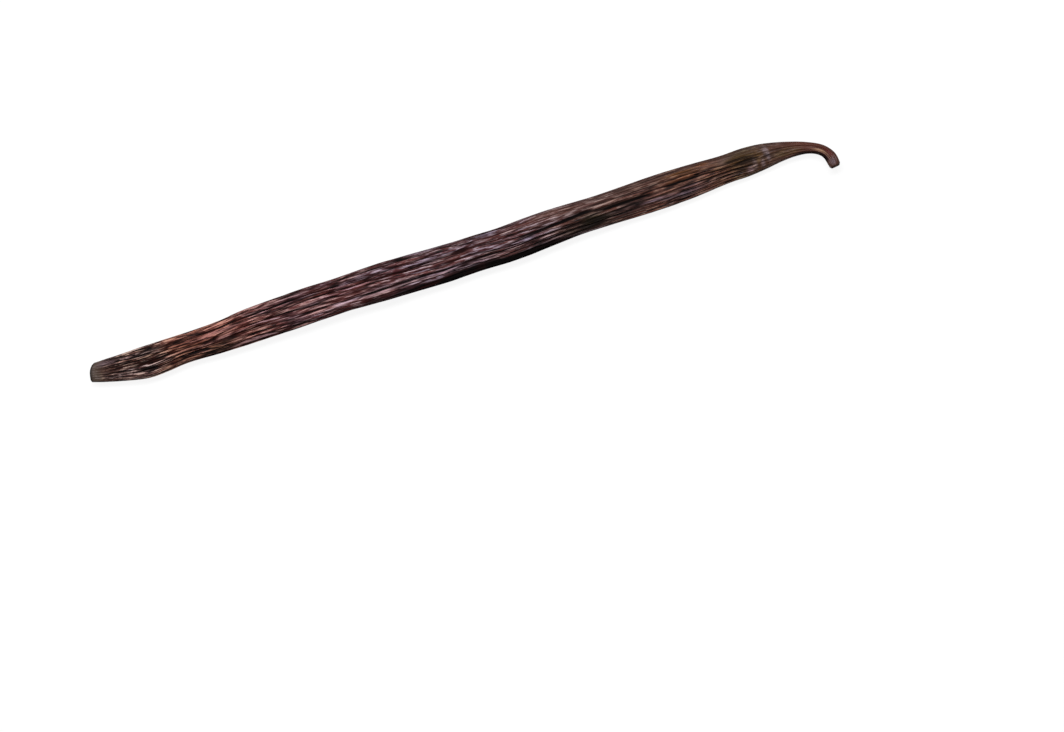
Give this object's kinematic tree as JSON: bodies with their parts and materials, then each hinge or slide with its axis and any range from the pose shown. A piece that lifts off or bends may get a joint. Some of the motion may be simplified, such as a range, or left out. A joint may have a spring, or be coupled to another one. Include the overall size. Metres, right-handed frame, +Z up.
{
  "type": "vanilla pod",
  "caption": "Whole cured vanilla pod: a long, slim, wrinkled dark brown pod with a blunt blossom end and a hooked stalk end, lying on a flat surface.",
  "frame": {"origin": "middle of the pod's footprint box, on the surface that it lies on", "axes": "+X runs along the pod from the blossom end to the stalk, +Z points up from the surface, and the stalk's hook bends towards -Y"},
  "size_m": [0.169, 0.0106, 0.006],
  "materials": {
    "cured_vanilla_skin": "dark brown, wrinkled lengthways, slightly oily"
  },
  "bodies": {
    "root": {"vanilla_pod": "cured_vanilla_skin"}
  },
  "joints": []
}
